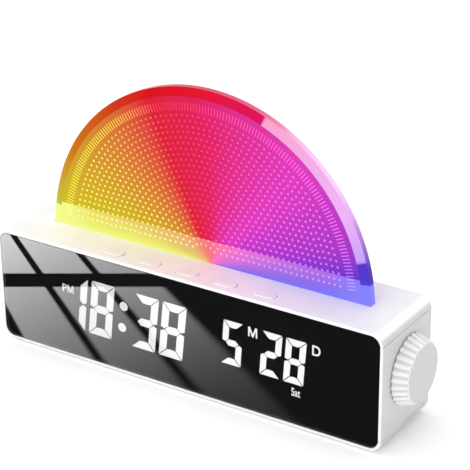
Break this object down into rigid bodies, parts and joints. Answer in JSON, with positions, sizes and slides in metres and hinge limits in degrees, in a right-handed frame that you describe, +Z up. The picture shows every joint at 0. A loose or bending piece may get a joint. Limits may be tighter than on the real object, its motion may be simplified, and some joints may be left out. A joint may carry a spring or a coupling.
{
  "type": "sunrise alarm clock",
  "caption": "Long rounded alarm clock with a smoked display front, an edge-lit half-round light plate in its top, oval top keys and a fluted knob on the right end.",
  "frame": {"origin": "on the surface that the clock stands on, under the middle of its housing", "axes": "+X along the clock to the right, towards the knob; +Y to the back; +Z up"},
  "size_m": [0.2071, 0.042, 0.1347],
  "materials": {
    "white_plastic": "fine satin moulded",
    "lens_acrylic": "polished smoked sheet",
    "plate_acrylic": "clear edge-lit sheet with etched dots",
    "foot_rubber": "matt",
    "screw_steel": "plated",
    "encoder_metal": "turned",
    "film_plastic": "printed film",
    "reflector_plastic": "moulded",
    "board_laminate": "solder mask over glass laminate",
    "light_package": "cast resin",
    "switch_plastic": "moulded",
    "capacitor_can": "drawn can",
    "magnet_ferrite": "pressed ferrite",
    "ribbon_plastic": "flat lead"
  },
  "bodies": {
    "clock_body": {"housing": "white_plastic", "end_cap_left": "white_plastic", "end_cap_right": "white_plastic", "rear_cover": "white_plastic", "rear_cover_screws": "screw_steel", "rubber_feet": "foot_rubber", "display_lens": "lens_acrylic", "display_film": "film_plastic", "digit_reflector": "reflector_plastic", "display_board": "board_laminate", "display_leds": "light_package", "display_screws": "screw_steel", "light_plate": "plate_acrylic", "plate_holder": "reflector_plastic", "light_board": "board_laminate", "light_leds": "light_package", "light_board_screws": "screw_steel", "plate_holder_screws": "screw_steel", "button_board": "board_laminate", "button_board_screws": "screw_steel", "tact_switches": "switch_plastic", "encoder_body": "encoder_metal", "encoder_washer": "screw_steel", "encoder_nut": "screw_steel", "encoder_board": "board_laminate", "main_board": "board_laminate", "main_board_chips": "switch_plastic", "board_capacitors": "capacitor_can", "board_connectors": "reflector_plastic", "main_board_screws": "screw_steel", "usb_socket": "screw_steel", "coin_cell_holder": "switch_plastic", "coin_cell": "screw_steel", "speaker_frame": "screw_steel", "speaker_magnet": "magnet_ferrite", "speaker_cone": "film_plastic", "light_ribbon": "ribbon_plastic", "display_ribbon": "ribbon_plastic", "button_ribbon": "ribbon_plastic", "speaker_ribbon": "ribbon_plastic", "encoder_ribbon": "ribbon_plastic"},
    "encoder_rotor": {"encoder_rotor": "switch_plastic"},
    "knob": {"knob": "white_plastic", "encoder_shaft": "encoder_metal"},
    "button_1": {"button_cap_1": "white_plastic", "tact_plunger_1": "switch_plastic"},
    "button_2": {"button_cap_2": "white_plastic", "tact_plunger_2": "switch_plastic"},
    "button_3": {"button_cap_3": "white_plastic", "tact_plunger_3": "switch_plastic"},
    "button_4": {"button_cap_4": "white_plastic", "tact_plunger_4": "switch_plastic"},
    "button_5": {"button_cap_5": "white_plastic", "tact_plunger_5": "switch_plastic"}
  },
  "joints": [
    {"name": "knob_turn", "type": "hinge", "parent": "clock_body", "child": "encoder_rotor", "pos_m": [0.1, 0.0014, 0.0305], "axis": [1, 0, 0], "continuous": true},
    {"name": "knob_press", "type": "slide", "parent": "encoder_rotor", "child": "knob", "axis": [-1, 0, 0], "range_m": [0, 0.0004], "stiffness_N_per_m": 2500},
    {"name": "button_1_press", "type": "slide", "parent": "clock_body", "child": "button_1", "axis": [0, 0, -1], "range_m": [0, 0.0004], "stiffness_N_per_m": 2500},
    {"name": "button_2_press", "type": "slide", "parent": "clock_body", "child": "button_2", "axis": [0, 0, -1], "range_m": [0, 0.0004], "stiffness_N_per_m": 2500},
    {"name": "button_3_press", "type": "slide", "parent": "clock_body", "child": "button_3", "axis": [0, 0, -1], "range_m": [0, 0.0004], "stiffness_N_per_m": 2500},
    {"name": "button_4_press", "type": "slide", "parent": "clock_body", "child": "button_4", "axis": [0, 0, -1], "range_m": [0, 0.0004], "stiffness_N_per_m": 2500},
    {"name": "button_5_press", "type": "slide", "parent": "clock_body", "child": "button_5", "axis": [0, 0, -1], "range_m": [0, 0.0004], "stiffness_N_per_m": 2500}
  ]
}
